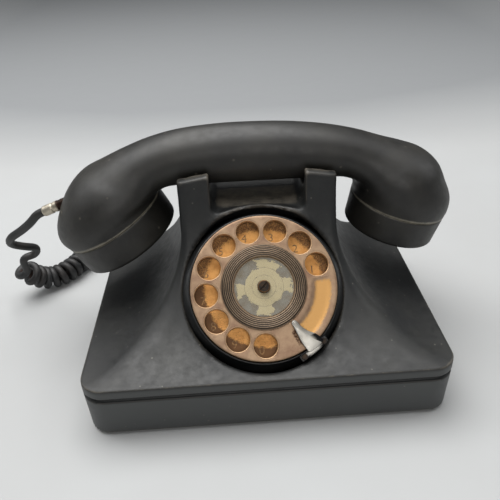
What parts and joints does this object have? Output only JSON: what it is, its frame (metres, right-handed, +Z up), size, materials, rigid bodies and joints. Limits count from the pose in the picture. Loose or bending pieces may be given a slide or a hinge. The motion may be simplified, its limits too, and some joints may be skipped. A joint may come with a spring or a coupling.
{
  "type": "rotary telephone",
  "caption": "Desk telephone with a flared black housing, a rotary finger wheel dial, a lift-off handset on a horned cradle and a curly handset cord.",
  "frame": {"origin": "on the surface it stands on, under the middle of the base", "axes": "+Z up, the dial faces -Y, +X to the right of a person facing the dial, along the handset"},
  "size_m": [0.2817, 0.1833, 0.1332],
  "materials": {
    "bakelite": "worn satin phenolic",
    "black_paint": "baked black enamel",
    "copper": "worn copper plate",
    "plated_copper": "polished copper plate",
    "aged_brown": "turned grooves, aged",
    "paper": "torn, yellowed",
    "celluloid": "scratched clear sheet",
    "steel": "zinc plated",
    "bright_nickel": "worn nickel plate",
    "brass": "satin",
    "fibre": "moulded fibre board",
    "winding": "varnished winding",
    "rubber": "matt"
  },
  "bodies": {
    "base": {"housing": "bakelite", "base_plate": "black_paint", "foot_1": "rubber", "foot_2": "rubber", "foot_3": "rubber", "foot_4": "rubber", "base_screw_1": "steel", "base_screw_2": "steel", "base_screw_3": "steel", "base_screw_4": "steel", "dial_collar": "black_paint", "number_plate": "plated_copper", "dial_frame": "steel", "dial_screw_1": "steel", "dial_screw_2": "steel", "dial_screw_3": "steel", "pulse_contacts": "brass", "governor_cup": "brass", "finger_stop": "bright_nickel", "finger_stop_screw_1": "bright_nickel", "finger_stop_screw_2": "bright_nickel", "hook_bracket": "steel", "hook_contacts": "brass", "ringer_frame": "steel", "gong_left": "brass", "gong_right": "brass", "gong_nut_left": "steel", "gong_nut_right": "steel", "ringer_coil_left": "winding", "ringer_coil_right": "winding", "induction_coil": "winding", "capacitor": "steel", "terminal_block": "fibre", "cord_grommet": "rubber", "line_grommet": "rubber", "cord_lead": "rubber", "cord_curly": "rubber", "cord_tail": "rubber"},
    "dial_wheel": {"finger_wheel": "copper", "card_ring": "aged_brown", "number_card": "paper", "card_window": "celluloid", "centre_screw": "steel", "dial_shaft": "steel", "main_gear": "brass", "spring_barrel": "steel"},
    "pinion": {"pinion_shaft": "brass"},
    "governor": {"governor_shaft": "steel"},
    "plunger_left": {"plunger_left": "black_paint"},
    "plunger_right": {"plunger_right": "black_paint"},
    "hook_lever": {"hook_lever": "steel"},
    "clapper": {"clapper": "steel"},
    "handset": {"handset_handle": "bakelite", "transmitter_cap": "bakelite", "receiver_cap": "bakelite", "transmitter_capsule": "steel", "receiver_capsule": "steel", "cord_ferrule": "bright_nickel"}
  },
  "joints": [
    {"name": "handset_lift", "type": "slide", "parent": "base", "child": "handset", "axis": [0, 0, 1], "range_m": [0, 0.15]},
    {"name": "plunger_left_rise", "type": "slide", "parent": "base", "child": "plunger_left", "axis": [0, 0, 1], "range_m": [0, 0.0051]},
    {"name": "plunger_right_rise", "type": "slide", "parent": "base", "child": "plunger_right", "axis": [0, 0, 1], "range_m": [0, 0.0051]},
    {"name": "hook_lever_swing", "type": "hinge", "parent": "base", "child": "hook_lever", "pos_m": [0, 0.036, 0.0746], "axis": [-1, 0, 0], "range_deg": [0, 13.8]},
    {"name": "dial_turn", "type": "hinge", "parent": "base", "child": "dial_wheel", "pos_m": [0, -0.042, 0.0646], "axis": [0, 0.7175, -0.6965], "range_deg": [0, 328], "stiffness_Nm_per_rad": 0.012, "springref_deg": -114.59},
    {"name": "pinion_spin", "type": "hinge", "parent": "base", "child": "pinion", "pos_m": [-0.03, -0.02765, 0.05067], "axis": [0, 0.7175, -0.6965], "range_deg": [-1320, 0]},
    {"name": "governor_spin", "type": "hinge", "parent": "base", "child": "governor", "pos_m": [-0.0405, -0.02335, 0.04649], "axis": [0, 0.6965, 0.7175], "range_deg": [0, 5280]},
    {"name": "clapper_swing", "type": "hinge", "parent": "base", "child": "clapper", "pos_m": [0, 0.022, 0.043], "axis": [0, 1, 0], "range_deg": [-3.5, 3.5], "stiffness_Nm_per_rad": 0.02}
  ],
  "couplings": [
    {"joint": "plunger_left_rise", "follows": "handset_lift", "ratio": 0.033},
    {"joint": "plunger_right_rise", "follows": "handset_lift", "ratio": 0.033},
    {"joint": "hook_lever_swing", "follows": "handset_lift", "rad_per_m": 1.557},
    {"joint": "pinion_spin", "follows": "dial_turn", "ratio": -4},
    {"joint": "governor_spin", "follows": "dial_turn", "ratio": 16}
  ]
}
